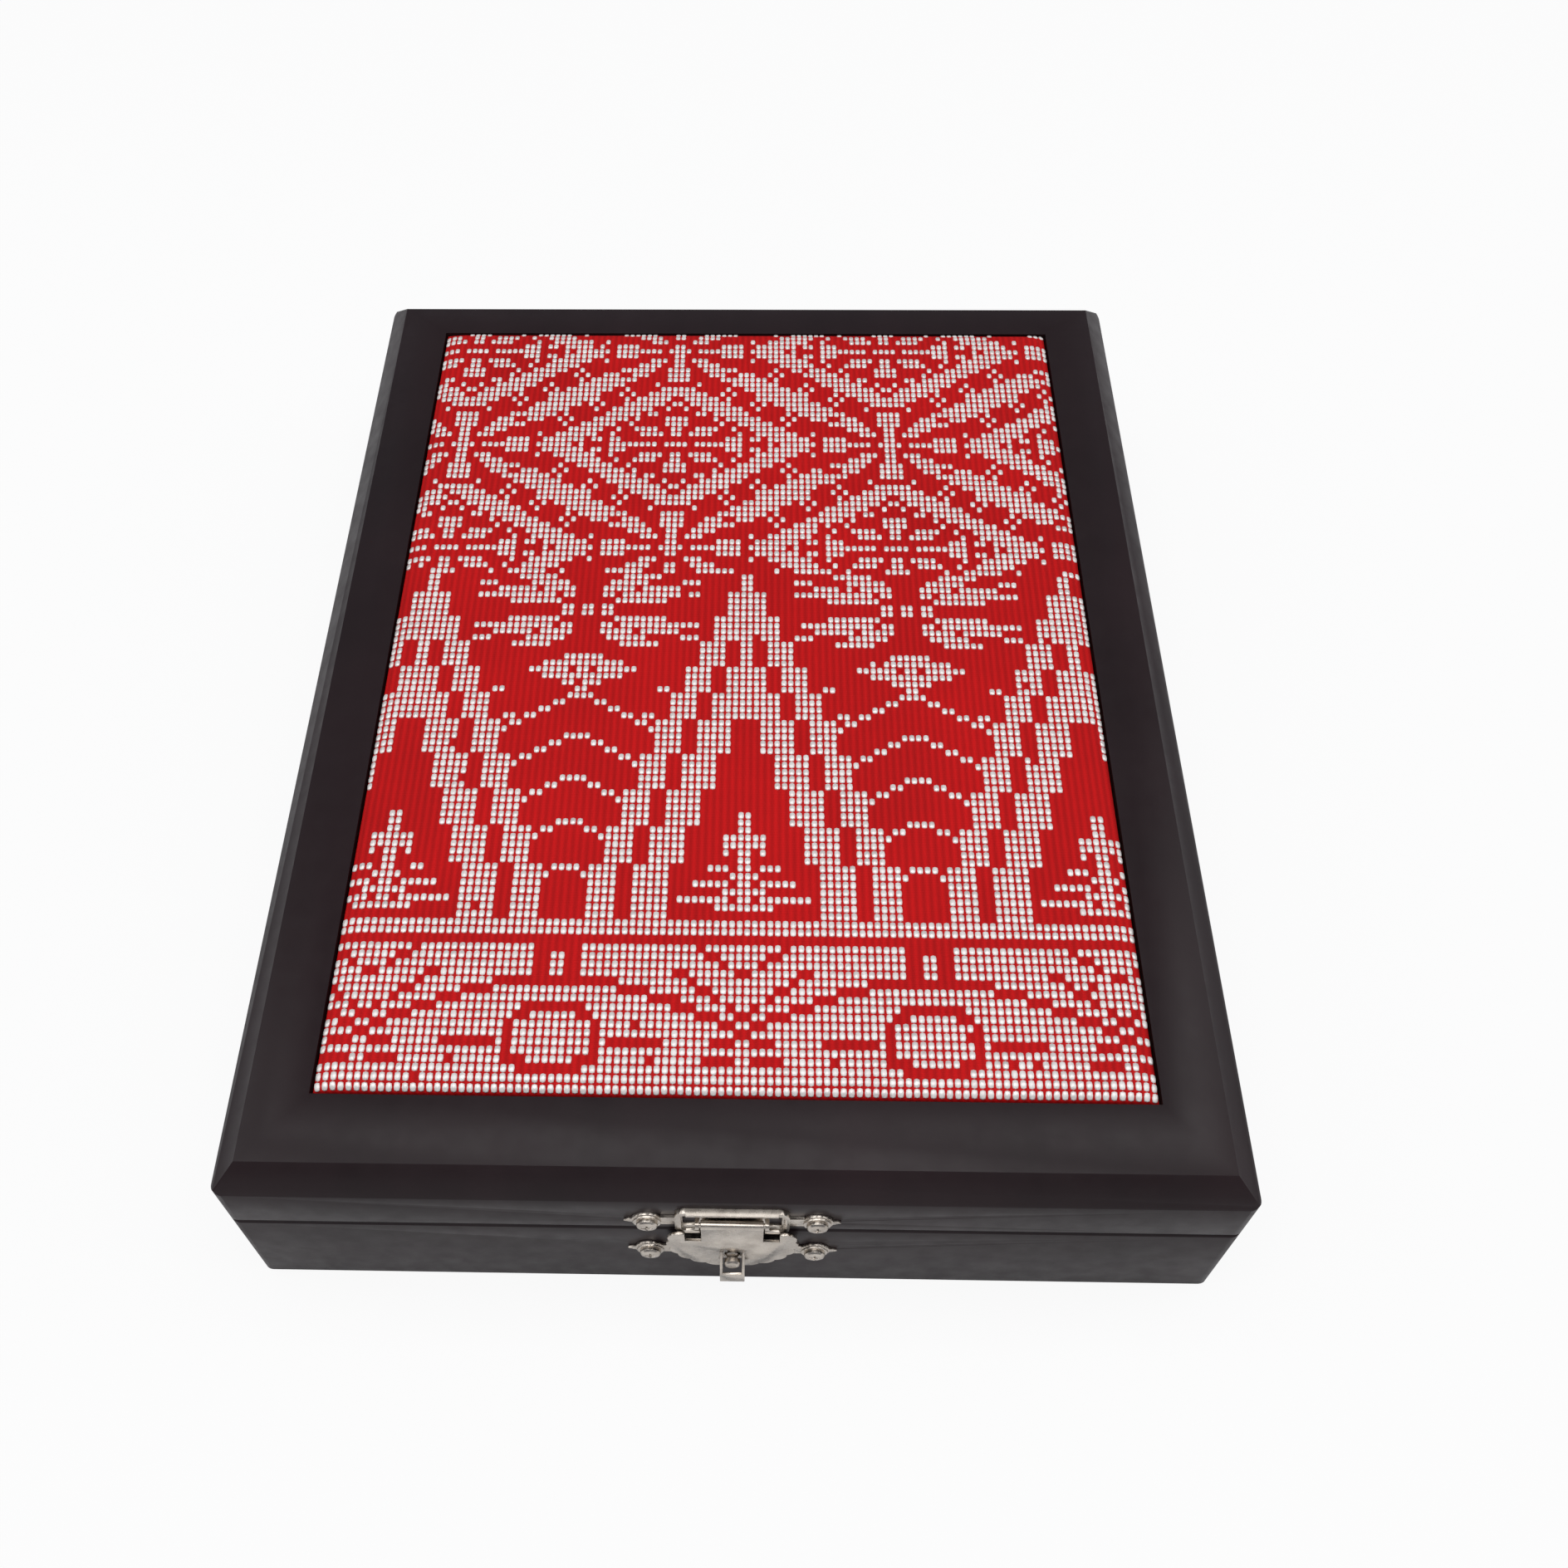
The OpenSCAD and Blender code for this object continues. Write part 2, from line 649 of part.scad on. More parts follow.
// The two screw holes of a latch plate
module plate_holes(z) {
  for (s = [-1, 1])
    translate([s * plate_screw_x, front_y + 1, z]) rotate([90, 0, 0])
      cylinder(r = screw_r + screw_gap, h = plate_t + boss_rise + 2);
}

// Raised rim of the lid plate: open at the bottom, where the hasp's neck passes
module frame_rim_plan() {
  inner_r = max(0.3, frame_r - frame_rim);
  difference() {
    round_plan(frame_w, frame_h, frame_r);
    round_plan(frame_w - 2 * frame_rim, frame_h - 2 * frame_rim, inner_r);
    translate([-lug_in, -frame_h]) square([2 * lug_in, frame_h]);
  }
}

// Lid latch plate: ears, a raised frame with a top flange, and two bent-out lugs for the pin
module lid_latch_plate() {
  window_w_in = frame_w / 2 - frame_rim - 0.3 - lug_out;
  flange_h = frame_rim * 0.7;
  color(nickel_col) difference() {
    union() {
      on_front(lid_ear_z, 0, plate_t) ear_plan();
      on_front(frame_mid_z, 0, plate_t) round_plan(frame_w, frame_h, frame_r);
      bosses(lid_ear_z);
      on_front(frame_mid_z, plate_t, plate_t + rim_rise) frame_rim_plan();
      on_front(frame_z + frame_h, plate_t, plate_t + flange_rise)
        translate([-frame_w / 2 + frame_r, -flange_h]) square([frame_w - 2 * frame_r, flange_h]);
      for (s = [-1, 1]) {
        rod_x(s * (lug_in + lug_w / 2), front_y - hasp_pin_out, hasp_pin_z, barrel_r, lug_w);
        translate([s * (lug_in + lug_w / 2) - lug_w / 2, front_y - hasp_pin_out,
            hasp_pin_z - barrel_r])
          cube([lug_w, hasp_pin_out, 2 * barrel_r]);
      }
    }
    plate_holes(lid_ear_z);
    rod_x(0, front_y - hasp_pin_out, hasp_pin_z, hasp_pin_r + bore_gap, 2 * lug_out + 2);
    for (s = [-1, 1])
      on_front(hasp_pin_z, -1, plate_t + flange_rise)
        translate([s * (lug_out + window_w_in / 2), -window_h / 2 + barrel_r])
          square([window_w_in, window_h], center = true);
  }
}

// Catch plate: ears, a scalloped middle and a raised seat that the fan rests against
module catch_plate() {
  color(nickel_col) difference() {
    union() {
      on_front(catch_ear_z, 0, plate_t) {
        ear_plan();
        for (i = [-2 : 2]) translate([i * catch_pitch, 0]) circle(catch_lobe_r);
      }
      bosses(catch_ear_z);
      on_front(catch_ear_z, plate_t, seat_out) round_plan(seat_w, seat_h, seat_r);
    }
    plate_holes(catch_ear_z);
    translate([0, front_y + 1, stud_z]) rotate([90, 0, 0])
      cylinder(r = stud_waist_r + screw_gap, h = seat_out + 2);
  }
}

// Round-head screws of a latch plate, with a cross recess
module plate_screws(z) {
  head_start = plate_t + boss_rise;
  head_end = head_start + screw_head_h;
  recess = 0.5;
  color(nickel_col)
    for (s = [-1, 1]) translate([s * plate_screw_x, front_y, z]) rotate([90, 0, 0])
      difference() {
        rotate_extrude() polygon([[0, -plate_screw_len], [screw_r, -plate_screw_len + screw_r],
          [screw_r, head_start], [screw_head_r, head_start], [screw_head_r, head_end - 0.6],
          [screw_head_r - 0.25, head_end - 0.25], [screw_head_r - 0.8, head_end - 0.05],
          [screw_head_r - 1.2, head_end], [0, head_end]]);
        for (a = [0, 90]) rotate([0, 0, a])
          translate([-1.1, -0.2, head_end - recess]) cube([2.2, 0.4, 1]);
      }
}
module lid_plate_screws() { plate_screws(lid_ear_z); }
module catch_plate_screws() { plate_screws(catch_ear_z); }

// Stud: riveted in the catch plate, with a waist behind its round head
module catch_stud() {
  rivet = 0.1;
  head = stud_end - 1.4;
  color(nickel_col) translate([0, front_y, stud_z]) rotate([90, 0, 0])
    rotate_extrude() polygon([[0, rivet], [stud_waist_r, rivet], [stud_waist_r, seat_out],
      [stud_r, seat_out], [stud_r, head - 0.9], [stud_waist_r, head - 0.5],
      [stud_waist_r, head - 0.3], [stud_r, head], [stud_r, stud_end - 0.6],
      [stud_r - 0.2, stud_end - 0.2], [stud_r - 0.6, stud_end], [0, stud_end]]);
}

// Pin through the lugs and the hasp's barrel
module hasp_pin() {
  color(nickel_col)
    rod_x(0, front_y - hasp_pin_out, hasp_pin_z, hasp_pin_r, 2 * lug_out);
}

// Fan of the hasp, drawn round the height of the pin
module fan_plan() {
  half = fan_w / 2 - lobe_r;
  deep = fan_drop - fan_middle_drop - lobe_r;
  sweep = 180 + 2 * fan_climb;
  spots = [for (i = [0 : fan_lobes - 1])
    let(a = sweep * i / (fan_lobes - 1) - fan_climb)
    [half * cos(a), -fan_middle_drop - deep * sin(a)]];
  difference() {
    union() {
      polygon(spots);
      for (p = spots) translate(p) circle(lobe_r);
    }
    for (s = [-1, 1])
      translate([s * (neck_w + notch_w) / 2 - notch_w / 2, -notch_drop])
        square([notch_w, notch_drop]);
    translate([-neck_w / 2, -fan_middle_drop + lobe_r]) square([neck_w, notch_drop]);
  }
  translate([-neck_w / 2, -fan_middle_drop]) square([neck_w, fan_middle_drop]);
}

// Side view of one strip of the tongue, from the fan out to the lip
module strip_side() {
  polygon([[-hasp_back, slot_top_z], [-hasp_front, slot_top_z],
    [-tongue_face - tongue_t, tongue_z], [-tongue_face - tongue_t, tongue_z - lip_h / 4],
    [-tongue_face, tongue_z - lip_h / 4], [-hasp_back, slot_top_z - 3 * tongue_t]]);
}

// Hasp flap: a rolled barrel, the scalloped fan, and a pressed-out tongue slotted for the stud
module hasp_flap() {
  strip_w = (tongue_w - slot_w) / 2;
  color(nickel_col) difference() {
    union() {
      rod_x(0, front_y - hasp_pin_out, hasp_pin_z, barrel_r, neck_w);
      on_front(hasp_pin_z, hasp_back, hasp_front) fan_plan();
      for (s = [-1, 1])
        translate([s * (slot_w + strip_w) / 2 - strip_w / 2, front_y, 0])
          rotate([90, 0, 90]) linear_extrude(strip_w) strip_side();
      translate([-tongue_w / 2, front_y - tongue_face - tongue_t, tongue_z - lip_h])
        cube([tongue_w, tongue_t, lip_h]);
    }
    rod_x(0, front_y - hasp_pin_out, hasp_pin_z, hasp_pin_r + bore_gap, neck_w + 2);
    on_front(hasp_pin_z - fan_drop - 1, hasp_back - 1, tongue_face)
      translate([-slot_w / 2, 0])
        square([slot_w, slot_top_z - hasp_pin_z + fan_drop + 1]);
  }
}

base_front_rail();
base_back_rail();
base_left_rail();
base_right_rail();
base_bottom_panel();
floor_pad_board();
floor_pad();
front_liner();
back_liner();
left_liner();
right_liner();
catch_plate();
catch_stud();
catch_plate_screws();
left_hinge_base_leaf();
right_hinge_base_leaf();
left_hinge_pin();
right_hinge_pin();
base_hinge_screws();
lid_front_rail();
lid_back_rail();
lid_left_rail();
lid_right_rail();
lid_top_frame();
lid_backing_board();
pad_board();
pad_foam();
brocade_cover();
lid_lining_board();
lid_lining();
lid_latch_plate();
lid_plate_screws();
hasp_pin();
left_hinge_lid_leaf();
right_hinge_lid_leaf();
lid_hinge_screws();
hasp_flap();
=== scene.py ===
import bpy
import bmesh
import math
import random
from mathutils import Euler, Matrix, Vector


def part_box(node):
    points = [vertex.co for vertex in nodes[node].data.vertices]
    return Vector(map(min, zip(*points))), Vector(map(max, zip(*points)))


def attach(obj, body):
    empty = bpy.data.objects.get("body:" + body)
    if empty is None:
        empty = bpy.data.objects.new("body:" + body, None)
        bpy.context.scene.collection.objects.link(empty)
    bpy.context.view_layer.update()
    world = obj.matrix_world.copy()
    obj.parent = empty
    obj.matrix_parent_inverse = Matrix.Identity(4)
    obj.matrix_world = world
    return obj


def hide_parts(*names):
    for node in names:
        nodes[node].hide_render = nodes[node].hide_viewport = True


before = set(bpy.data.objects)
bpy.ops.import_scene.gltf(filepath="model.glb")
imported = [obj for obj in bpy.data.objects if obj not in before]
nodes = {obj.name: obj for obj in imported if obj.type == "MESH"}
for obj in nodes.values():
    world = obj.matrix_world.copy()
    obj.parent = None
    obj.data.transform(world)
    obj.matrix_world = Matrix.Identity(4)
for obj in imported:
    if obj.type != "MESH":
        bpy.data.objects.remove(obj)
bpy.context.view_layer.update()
MM = 0.001

# The view: a camera a little in front of the box and above it, looking down at the lid
# and the front face, with its frame shifted as the photograph's crop is.
CAMERA_AT = (2.5, -241.7, 328.7)
CAMERA_TURN = (0.60249, 0.01322, 0.02051)
SENSOR = 36
LENS = 36.09
SHIFT_RIGHT = 0.0450
SHIFT_UP = 0.0262
NEAREST = 0.01
camera_data = bpy.data.cameras.new("camera")
camera_data.sensor_width = SENSOR
camera_data.lens = LENS
camera_data.shift_x = SHIFT_RIGHT
camera_data.shift_y = SHIFT_UP
camera_data.clip_start = NEAREST
camera = bpy.data.objects.new("camera", camera_data)
camera.location = Vector(CAMERA_AT) * MM
camera.rotation_euler = Euler(CAMERA_TURN)
bpy.context.scene.collection.objects.link(camera)
bpy.context.scene.camera = camera
bpy.context.scene.view_settings.view_transform = "Standard"

# The floor and the backdrop: a wide white table with only white behind it. To the camera
# the table is nine parts plain white and one part lit surface, which holds the shadow.
FLOOR_HALF = 40.0
FLOOR_DULL = (0.86, 0.86, 0.86)
FLOOR_PALE = (0.90, 0.90, 0.90)
PLAIN_WHITE = (1, 1, 1, 1)
SHARE_OF_WHITE = 0.9
DAYLIGHT = (0.9, 0.92, 1.0, 1)
DAYLIGHT_STRENGTH = 0.22
corners = [(x * FLOOR_HALF, y * FLOOR_HALF, 0) for x, y in ((-1, -1), (1, -1), (1, 1), (-1, 1))]
floor_mesh = bpy.data.meshes.new("floor")
floor_mesh.from_pydata(corners, [], [(0, 1, 2, 3)])
floor = bpy.data.objects.new("floor", floor_mesh)
bpy.context.scene.collection.objects.link(floor)


# Every finish is a node tree. Wire holds a socket, so that shader maths reads as plain
# arithmetic, and Finish makes the material and any node in it.
class Wire:
    def __init__(self, finish, socket):
        self.finish = finish
        self.socket = socket

    def calculate(self, operation, *others):
        values = dict(enumerate((self, *others)))
        made = self.finish.add("ShaderNodeMath", {"operation": operation}, values)
        return Wire(self.finish, made.outputs[0])

    def __add__(self, other):
        return self.calculate("ADD", other)

    def __mul__(self, other):
        return self.calculate("MULTIPLY", other)

    __radd__ = __add__
    __rmul__ = __mul__

    def wave(self):
        return (self * math.tau).calculate("SINE")

    def spread(self, low, high, start=0.0, end=1.0):
        made = self.finish.add("ShaderNodeMapRange", {"clamp": True},
                               {0: self, 1: low, 2: high, 3: start, 4: end})
        return Wire(self.finish, made.outputs[0])


class Finish:
    def __init__(self, name, **fixed):
        self.material = bpy.data.materials.new(name)
        self.material.use_nodes = True
        self.tree = self.material.node_tree
        self.shader = self.tree.nodes["Principled BSDF"]
        for socket, value in fixed.items():
            self.set(socket.replace("_", " "), value)
        self.place = Wire(self, self.add("ShaderNodeTexCoord").outputs["Object"])

    def add(self, kind, settings=None, values=None):
        made = self.tree.nodes.new(kind)
        for key, value in (settings or {}).items():
            setattr(made, key, value)
        for key, value in (values or {}).items():
            self.join(made.inputs[key], value)
        return made

    def join(self, socket, value):
        if isinstance(value, Wire):
            self.tree.links.new(value.socket, socket)
        else:
            socket.default_value = value

    def set(self, socket, value):
        self.join(self.shader.inputs[socket], value)

    def axes(self):
        split = self.add("ShaderNodeSeparateXYZ", values={0: self.place})
        return [Wire(self, output) for output in split.outputs]

    def noise(self, scale, detail=3.0, stretch=(1, 1, 1)):
        moved = self.add("ShaderNodeMapping", values={"Vector": self.place, "Scale": stretch})
        made = self.add("ShaderNodeTexNoise", values={
            "Vector": Wire(self, moved.outputs[0]), "Scale": scale, "Detail": detail})
        return Wire(self, made.outputs["Fac"])

    def mix(self, share, first, second):
        made = self.add("ShaderNodeMix", {"data_type": "RGBA"},
                        {"Factor": share, "A": (*first, 1), "B": (*second, 1)})
        return Wire(self, made.outputs["Result"])

    def bump(self, height, depth):
        made = self.add("ShaderNodeBump", values={"Height": height, "Distance": depth, "Strength": 1.0})
        self.set("Normal", Wire(self, made.outputs["Normal"]))


table = Finish("table_white", Roughness=0.9)
table.set("Base Color", table.mix(table.noise(scale=3), FLOOR_DULL, FLOOR_PALE))
glow = table.add("ShaderNodeEmission", values={"Color": PLAIN_WHITE, "Strength": 1.0})
seen = Wire(table, table.add("ShaderNodeLightPath").outputs["Is Camera Ray"])
blend = table.add("ShaderNodeMixShader", values={
    0: seen * SHARE_OF_WHITE,
    1: Wire(table, table.shader.outputs[0]),
    2: Wire(table, glow.outputs[0])})
table.tree.links.new(blend.outputs[0], table.tree.nodes["Material Output"].inputs["Surface"])
floor.data.materials.append(table.material)

world = bpy.data.worlds.new("studio")
bpy.context.scene.world = world
world.use_nodes = True
sky = world.node_tree
around = sky.nodes["Background"]
around.inputs["Color"].default_value = DAYLIGHT
around.inputs["Strength"].default_value = DAYLIGHT_STRENGTH
beyond = sky.nodes.new("ShaderNodeBackground")
beyond.inputs["Color"].default_value = PLAIN_WHITE
beyond.inputs["Strength"].default_value = 1.0
ray = sky.nodes.new("ShaderNodeLightPath")
choice = sky.nodes.new("ShaderNodeMixShader")
sky.links.new(ray.outputs["Is Camera Ray"], choice.inputs[0])
sky.links.new(around.outputs[0], choice.inputs[1])
sky.links.new(beyond.outputs[0], choice.inputs[2])
sky.links.new(choice.outputs[0], sky.nodes["World Output"].inputs["Surface"])

# The light: one broad soft lamp overhead, a weaker one at each side, and a faint low one
# in front, which keeps the front face and the latch from going black.
FLOOR_MIDDLE = (0, 0, 0)
BOX_MIDDLE = (0, 0, 0.03)


def soft_light(name, place, aim, size, watts):
    data = bpy.data.lights.new(name, "AREA")
    data.shape = "RECTANGLE"
    data.size, data.size_y = size
    data.energy = watts
    lamp = bpy.data.objects.new(name, data)
    lamp.location = place
    lamp.rotation_euler = (Vector(aim) - Vector(place)).to_track_quat("-Z", "Y").to_euler()
    bpy.context.scene.collection.objects.link(lamp)


soft_light("overhead", place=(0.0, -0.15, 1.5), aim=FLOOR_MIDDLE, size=(1.6, 1.2), watts=13.5)
soft_light("left_side", place=(-1.2, -0.1, 0.8), aim=BOX_MIDDLE, size=(0.8, 1.2), watts=4)
soft_light("right_side", place=(1.2, 0.0, 0.8), aim=BOX_MIDDLE, size=(0.8, 1.2), watts=4)
soft_light("front_low", place=(0.1, -1.2, 0.25), aim=BOX_MIDDLE, size=(1.4, 0.3), watts=0.7)

# The wooden box: mitred rails glued at the corners and a top frame cut from one board, all
# filled, sanded and sprayed as one with dark satin lacquer, so that no glue line shows on
# the outside.
SIDES = ("front", "back", "left", "right")
ARRIS = 0.45 * MM
NODE_WELD = 1e-6
JOINT_WELD = 2e-6
FLAT_ANGLE = math.radians(0.5)
EDGE_ANGLE = math.radians(30)
LACQUER_DARK = (0.0150, 0.0088, 0.0102)
LACQUER_WARM = (0.0225, 0.0128, 0.0148)
LACQUER_RELIEF = 0.012 * MM
CLOUD_SHARE = 0.6
STREAK_SHARE = 0.4
DUST_HEIGHT = 0.5
STREAK_HEIGHT = 0.5
WOOD_GRAIN = (1, 0.06, 1)
lacquer = Finish("satin_lacquer", Specular_IOR_Level=0.24)
cloud = lacquer.noise(scale=22, detail=4)
streak = lacquer.noise(scale=90, detail=5, stretch=WOOD_GRAIN)
patches = lacquer.noise(scale=240, detail=4)
dust = lacquer.noise(scale=1400, detail=2)
warmth = (cloud * CLOUD_SHARE + streak * STREAK_SHARE).spread(0.35, 0.65)
lacquer.set("Base Color", lacquer.mix(warmth, LACQUER_DARK, LACQUER_WARM))
lacquer.set("Roughness", patches.spread(0.3, 0.7, start=0.34, end=0.44))
lacquer.bump(dust * DUST_HEIGHT + streak * STREAK_HEIGHT, LACQUER_RELIEF)


def weld(mesh, distance):
    work = bmesh.new()
    work.from_mesh(mesh)
    bmesh.ops.remove_doubles(work, verts=work.verts, dist=distance)
    bmesh.ops.dissolve_limit(work, angle_limit=FLAT_ANGLE, verts=work.verts, edges=work.edges)
    work.to_mesh(mesh)
    work.free()


def merged_copy(node, name):
    mesh = nodes[node].data.copy()
    mesh.name = name
    weld(mesh, NODE_WELD)
    copy = bpy.data.objects.new(name, mesh)
    bpy.context.scene.collection.objects.link(copy)
    return copy


def plain_mesh(piece):
    graph = bpy.context.evaluated_depsgraph_get()
    final = bpy.data.meshes.new_from_object(piece.evaluated_get(graph))
    piece.modifiers.clear()
    piece.data = final


def ease_edges(piece, width, steps=2):
    bevel = piece.modifiers.new("eased_edges", "BEVEL")
    bevel.width = width
    bevel.segments = steps
    bevel.limit_method = "ANGLE"
    bevel.angle_limit = EDGE_ANGLE
    bevel.use_clamp_overlap = True
    bevel.harden_normals = True
    plain_mesh(piece)
    piece.data.shade_smooth()
    piece.data.set_sharp_from_angle(angle=EDGE_ANGLE)


def coat(piece, finish):
    piece.data.materials.clear()
    piece.data.materials.append(finish.material)


def carcass(name, body, parts):
    whole = merged_copy(parts[0], name)
    for part in parts[1:]:
        other = merged_copy(part, part + "_copy")
        glue = whole.modifiers.new("glue", "BOOLEAN")
        glue.operation = "UNION"
        glue.solver = "EXACT"
        glue.object = other
        plain_mesh(whole)
        bpy.data.objects.remove(other)
    weld(whole.data, JOINT_WELD)
    ease_edges(whole, ARRIS)
    coat(whole, lacquer)
    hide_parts(*parts)
    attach(whole, body)


carcass("base_carcass", "base", ["base_" + side + "_rail" for side in SIDES])
carcass("lid_carcass", "lid", ["lid_top_frame"] + ["lid_" + side + "_rail" for side in SIDES])

# The boards: plain thin plywood, left raw where the linings and the pad cover it, and
# stained dark on the bottom panel, which is glued into a rebate under the box.
PLY_PALE = (0.36, 0.22, 0.12)
PLY_BROWN = (0.22, 0.12, 0.06)
STAIN_DARK = (0.020, 0.013, 0.012)
STAIN_WORN = (0.038, 0.024, 0.020)
PLY_GRAIN = (1, 0.05, 1)
PLY_RELIEF = 0.05 * MM


def plywood(name, roughness, scale, first, second):
    finish = Finish(name, Roughness=roughness)
    figure = finish.noise(scale=scale, detail=5, stretch=PLY_GRAIN).spread(0.3, 0.7)
    finish.set("Base Color", finish.mix(figure, first, second))
    finish.bump(finish.noise(scale=500, detail=3, stretch=PLY_GRAIN), PLY_RELIEF)
    return finish


raw_ply = plywood("plywood_raw", roughness=0.7, scale=60, first=PLY_PALE, second=PLY_BROWN)
stained_ply = plywood("plywood_stained", roughness=0.6, scale=70, first=STAIN_DARK, second=STAIN_WORN)
for board in ("floor_pad_board", "lid_backing_board", "pad_board", "lid_lining_board"):
    coat(nodes[board], raw_ply)
coat(nodes["base_bottom_panel"], stained_ply)

# The brocade pad: red cloth drawn tight over foam and a board, its edges turned down into
# the lid's window. It is one closed form with a low crown and rounded shoulders, and its
# weave is counted in cells, COLUMNS across and ROWS from the back to the front.
COLUMNS = 104
ROWS = 117
PAD_RISE = 2.1 * MM
PAD_CROWN = 0.5 * MM
PAD_ROUND = 5.5 * MM
PAD_EDGE_DEPTH = 2.57 * MM
PAD_STEPS = 40
SHOULDER_STEPS = 6
CREASE_ANGLE = math.radians(60)
pad_low, pad_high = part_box("brocade_cover")
pad_w = pad_high.x - pad_low.x
pad_d = pad_high.y - pad_low.y
pad_x = (pad_high.x + pad_low.x) / 2
pad_y = (pad_high.y + pad_low.y) / 2
pad_edge = pad_high.z - PAD_EDGE_DEPTH
step_x = pad_w / COLUMNS
step_y = pad_d / ROWS


def shoulder(distance, radius):
    left = 1 - min(1.0, max(0.0, distance) / radius)
    return math.sqrt(1 - left * left)


def rise_at(x, y, width, depth, rise, crown, radius):
    side = shoulder(width / 2 - abs(x), radius) * shoulder(depth / 2 - abs(y), radius)
    return rise * side + crown * (1 - (2 * x / width) ** 2) * (1 - (2 * y / depth) ** 2)


def spaced(half, radius, steps):
    turns = [math.pi / 2 * k / SHOULDER_STEPS for k in range(SHOULDER_STEPS + 1)]
    edge = [half - radius * (1 - math.cos(turn)) for turn in turns]
    flat = [edge[-1] * k / steps for k in range(steps)]
    right = flat + edge[::-1]
    return sorted({round(v, 9) for v in [-v for v in right] + right})


def crowned_form(name, centre, width, depth, under, edge, rise, crown, radius, steps):
    xs = spaced(width / 2, radius, steps)
    ys = spaced(depth / 2, radius, steps)
    wide, deep = len(xs), len(ys)
    points, faces = [], []
    for y in ys:
        for x in xs:
            high = edge + rise_at(x, y, width, depth, rise, crown, radius)
            points.append((centre[0] + x, centre[1] + y, high))
    for j in range(deep - 1):
        for i in range(wide - 1):
            a = j * wide + i
            faces.append((a, a + 1, a + wide + 1, a + wide))
    rim = list(range(wide)) + [j * wide + wide - 1 for j in range(1, deep)]
    rim += [(deep - 1) * wide + i for i in range(wide - 2, -1, -1)]
    rim += [j * wide for j in range(deep - 2, 0, -1)]
    low, count = len(points), len(rim)
    middle = low + count
    points += [(points[k][0], points[k][1], under) for k in rim]
    points.append((centre[0], centre[1], under))
    pairs = [(k, (k + 1) % count) for k in range(count)]
    faces += [(rim[after], rim[k], low + k, low + after) for k, after in pairs]
    faces += [(low + after, low + k, middle) for k, after in pairs]
    mesh = bpy.data.meshes.new(name)
    mesh.from_pydata(points, [], faces)
    mesh.shade_smooth()
    mesh.set_sharp_from_angle(angle=CREASE_ANGLE)
    piece = bpy.data.objects.new(name, mesh)
    bpy.context.scene.collection.objects.link(piece)
    return piece


RED_DEEP = (0.40, 0.0040, 0.0050)
RED_BRIGHT = (0.66, 0.0070, 0.0080)
WEFT_PITCH = 0.42 * MM
CLOTH_RELIEF = 0.05 * MM
RIB_SHADE = 0.30
WEFT_SHADE = 0.12
PATCH_SHADE = 0.8
LEAST_SHADE = 0.1
RIB_HEIGHT = 0.6
WEFT_HEIGHT = 0.25
FUZZ_HEIGHT = 0.4
brocade = Finish("red_brocade_ground", Roughness=0.75, Specular_IOR_Level=0.15)
across, along = brocade.axes()[:2]
ribs = (across * (1 / step_x)).wave()
wefts = (along * (1 / WEFT_PITCH)).wave()
soft_patch = brocade.noise(scale=35, detail=3)
fuzz = brocade.noise(scale=1500, detail=2)
# The ribs and the wefts lighten the red on the threads' crests and darken it in the grooves between
# them, following the same waves as the bump: painted shade of the weave. The soft patches add random
# tone.
painted_shade_and_tone = ribs * RIB_SHADE + wefts * WEFT_SHADE + soft_patch * PATCH_SHADE + LEAST_SHADE
brocade.set("Base Color", brocade.mix(painted_shade_and_tone.spread(0, 1), RED_DEEP, RED_BRIGHT))
brocade.bump(ribs * RIB_HEIGHT + wefts * WEFT_HEIGHT + fuzz * FUZZ_HEIGHT, CLOTH_RELIEF)
cover = crowned_form("brocade_pad", (pad_x, pad_y), pad_w, pad_d, pad_low.z, pad_edge,
                     PAD_RISE, PAD_CROWN, PAD_ROUND, PAD_STEPS)
coat(cover, brocade)
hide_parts("brocade_cover", "pad_foam")
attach(cover, "lid")

# The silver floats: flat metal thread that lies on top of the red cloth for one cell of the
# weave at a time, a little out of line, with a cell missed here and there. Three bands of
# figures follow one another from the back to the front, each laid by its own rule.
FLOAT_SIZE = (1.00 * MM, 1.46 * MM, 0.42 * MM)
SQUARENESS = 0.62
FLOAT_SIDES = 8
FLOAT_RINGS = 4
BALL_RADIUS = 0.5
CELL_MIDDLE = 0.5
MISSED_SHARE = 0.004
ASTRAY_ACROSS = 0.04
ASTRAY_ALONG = 0.07
ASTRAY_TURN = 0.05
SLOPE_STEP = 1e-5
THREAD_DULL = (0.86, 0.80, 0.77)
THREAD_BRIGHT = (1.00, 0.97, 0.94)
THREAD_RELIEF = 0.03 * MM
thread = Finish("silver_thread", Roughness=0.36)
tarnish = thread.noise(scale=420, detail=2).spread(0.3, 0.7)
glint = thread.noise(scale=300, detail=2).spread(0.35, 0.65, start=0.10, end=0.45)
thread.set("Base Color", thread.mix(tarnish, THREAD_DULL, THREAD_BRIGHT))
thread.set("Metallic", glint)
thread.bump(thread.noise(scale=2500, detail=2), THREAD_RELIEF)


